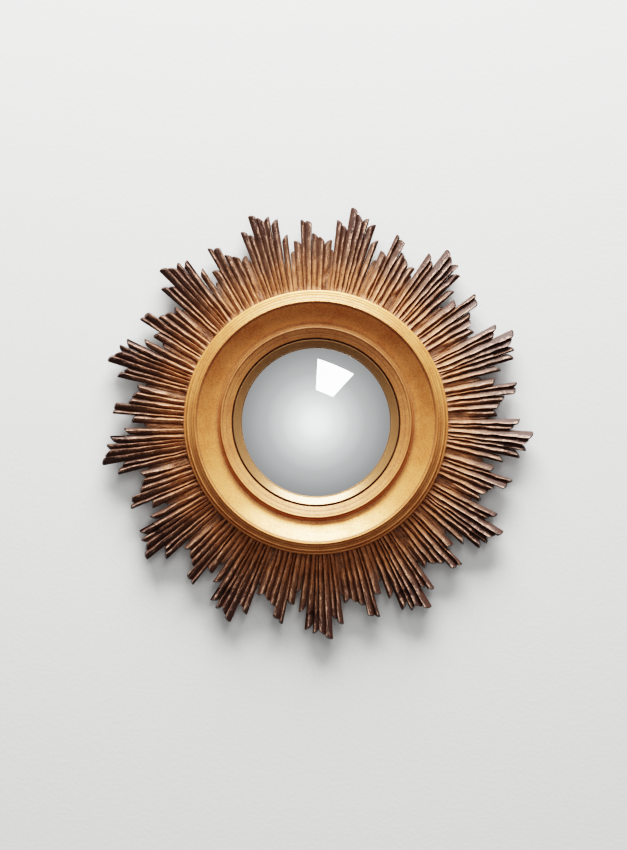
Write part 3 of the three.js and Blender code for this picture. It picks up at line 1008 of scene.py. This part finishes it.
# The larger softbox over it, out of what the glass mirrors
OVERHEAD_ENDS = ((0.02, -0.4, 2.05), (0.02, -1.2, 1.7))
OVERHEAD_WIDTH = 1.7
OVERHEAD_POWER = 205.0

# How bright the surroundings are, from behind the wall at -1 to straight in front of it at 1, where
# the glass mirrors them, and how much brighter the ceiling is
SURROUNDINGS = (
    (-1.0, 0.8), (-0.3, 0.6), (0.1, 0.05), (0.5, 0.05), (0.71, 0.345),
    (0.766, 0.405), (0.866, 0.56), (0.935, 0.86), (0.98, 1.38), (1.0, 2.15),
)
CEILING = 0.5
CEILING_FROM = 0.7  # height of a direction where the ceiling begins


def flat_sheet(name, corners, finish):
    mesh = bpy.data.meshes.new(name)
    mesh.from_pydata(corners, [], [(0, 1, 2, 3)])
    mesh.materials.append(finish)
    sheet = bpy.data.objects.new(name, mesh)
    bpy.context.scene.collection.objects.link(sheet)
    return sheet


def plaster_finish(name, shade, one_sided):
    """Pale plaster, which a one-sided wall shows only from its front."""
    finish = Finish(name)
    grain = finish.grain(finish.place(), PLASTER_GRAIN, detail=3.0)
    colour = finish.mix(grain, srgb(shade - 4, shade - 4, shade - 6), srgb(shade, shade, shade - 2))
    sockets = {"Base Color": colour, "Roughness": 0.9, "Normal": finish.bump(grain, PLASTER_RELIEF)}
    shader = finish.node("BsdfPrincipled", None, sockets)
    if one_sided:
        behind = finish.node("NewGeometry", output=6)
        clear = finish.node("BsdfTransparent")
        shader = finish.node("MixShader", None, {0: behind, 1: shader, 2: clear})
    finish.node("OutputMaterial", None, {"Surface": shader})
    return finish.made


def add_backdrop():
    """The wall and the floor. The wall is seen and takes shadows, and lights nothing itself."""
    side = BACKDROP_SIDE
    wall_corners = ((-side, -FLOOR_DROP), (side, -FLOOR_DROP), (side, side), (-side, side))
    wall = flat_sheet(
        "wall",
        [(x, WALL_GAP, z) for x, z in wall_corners],
        plaster_finish("pale_wall", WALL_SHADE, one_sided=True),
    )
    for ray in ("visible_diffuse", "visible_glossy", "visible_shadow"):
        setattr(wall, ray, False)
    floor_corners = ((-side, -side), (side, -side), (side, side), (-side, side))
    floor = flat_sheet(
        "floor",
        [(x, y, -FLOOR_DROP) for x, y in floor_corners],
        plaster_finish("pale_floor", FLOOR_SHADE, one_sided=False),
    )
    floor.visible_glossy = False
    floor.visible_diffuse = False


def add_panel(name, near, far, width, power, roll=0.0):
    """A soft rectangular light that runs from one point to another and faces down and to the wall."""
    near, far = Vector(near), Vector(far)
    along = (near - far).normalized()
    across = Matrix.Rotation(roll, 3, along) @ Vector((1.0, 0.0, 0.0))
    across = (across - across.project(along)).normalized()
    up = across.cross(along)
    lamp = bpy.data.lights.new(name, "AREA")
    lamp.shape = "RECTANGLE"
    lamp.size = width
    lamp.size_y = (near - far).length
    lamp.energy = power
    light = bpy.data.objects.new(name, lamp)
    bpy.context.scene.collection.objects.link(light)
    turn = Matrix((across, along, up)).transposed().to_4x4()
    light.matrix_world = Matrix.Translation((near + far) / 2) @ turn
    return light


def add_lights():
    """A softbox that the glass mirrors, and a larger one above it that it doesn't."""
    scale = SOFTBOX_SCALE
    near, far = (Vector(end) * scale for end in SOFTBOX_ENDS)
    add_panel("softbox", near, far, SOFTBOX_WIDTH * scale, SOFTBOX_POWER, roll=SOFTBOX_ROLL)
    add_panel("overhead", *OVERHEAD_ENDS, OVERHEAD_WIDTH, OVERHEAD_POWER)


def add_surroundings(scene):
    """Pale surroundings, brightest in front of the wall, where the room is."""
    sky = Finish("pale_surroundings", "worlds")
    direction = sky.node("TexCoord")
    front = sky.vector("DOT_PRODUCT", direction, (0.0, -1.0, 0.0), output=1)
    stops = [(place / 2 + 0.5, (shade, shade, shade, 1.0)) for place, shade in SURROUNDINGS]
    shade = sky.node("ValToRGB", {"stops": stops}, {0: front / 2 + 0.5})
    up = sky.node("SeparateXYZ", None, {0: direction}, output=2)
    strength = shade + sky.step(up, CEILING_FROM, 1.0) * CEILING
    background = sky.node("Background", None, {"Color": (1.0, 1.0, 1.0, 1.0), "Strength": strength})
    sky.node("OutputWorld", None, {"Surface": background})
    scene.world = sky.made


def add_camera(scene):
    lens = bpy.data.cameras.new("front_view")
    lens.sensor_width = SENSOR
    lens.lens = SENSOR * (CAMERA_DISTANCE - RAY_PLANE) / FRAME_HEIGHT
    lens.clip_end = VIEW_DEPTH
    camera = bpy.data.objects.new("front_view", lens)
    scene.collection.objects.link(camera)
    camera.location = (VIEW_CENTRE[0], -CAMERA_DISTANCE, VIEW_CENTRE[1])
    camera.rotation_euler = (math.radians(90), 0.0, 0.0)
    scene.camera = camera


class VIEW3D_PT_mirror(bpy.types.Panel):
    """Lists the pieces of the mirror and their settings"""

    bl_label = "Sunburst Wall Mirror"
    bl_space_type = "VIEW_3D"
    bl_region_type = "UI"
    bl_category = "Mirror"

    def draw(self, context):
        for operator in OPERATORS:
            self.layout.operator(operator.bl_idname)
        for group in (getattr(context.scene, name) for name in GROUPS):
            box = self.layout.box()
            for name in group.bl_rna.properties.keys():
                if name not in ("rna_type", "name"):
                    box.prop(group, name)


GROUPS = {
    "mirror_carving": MirrorCarving,
    "mirror_turning": MirrorTurning,
    "mirror_colours": MirrorColours,
}
OPERATORS = (SCENE_OT_sunburst, SCENE_OT_rings, SCENE_OT_glass, SCENE_OT_back, SCENE_OT_stage)


def register():
    for name, group in GROUPS.items():
        bpy.utils.register_class(group)
        setattr(bpy.types.Scene, name, PointerProperty(type=group))
    for operator in OPERATORS:
        bpy.utils.register_class(operator)
    bpy.utils.register_class(VIEW3D_PT_mirror)


def unregister():
    bpy.utils.unregister_class(VIEW3D_PT_mirror)
    for operator in reversed(OPERATORS):
        bpy.utils.unregister_class(operator)
    for name, group in GROUPS.items():
        delattr(bpy.types.Scene, name)
        bpy.utils.unregister_class(group)


def main():
    register()
    bpy.ops.mirror.sunburst()
    bpy.ops.mirror.rings()
    bpy.ops.mirror.glass()
    bpy.ops.mirror.back()
    bpy.ops.mirror.stage()


if __name__ == "__main__":
    main()
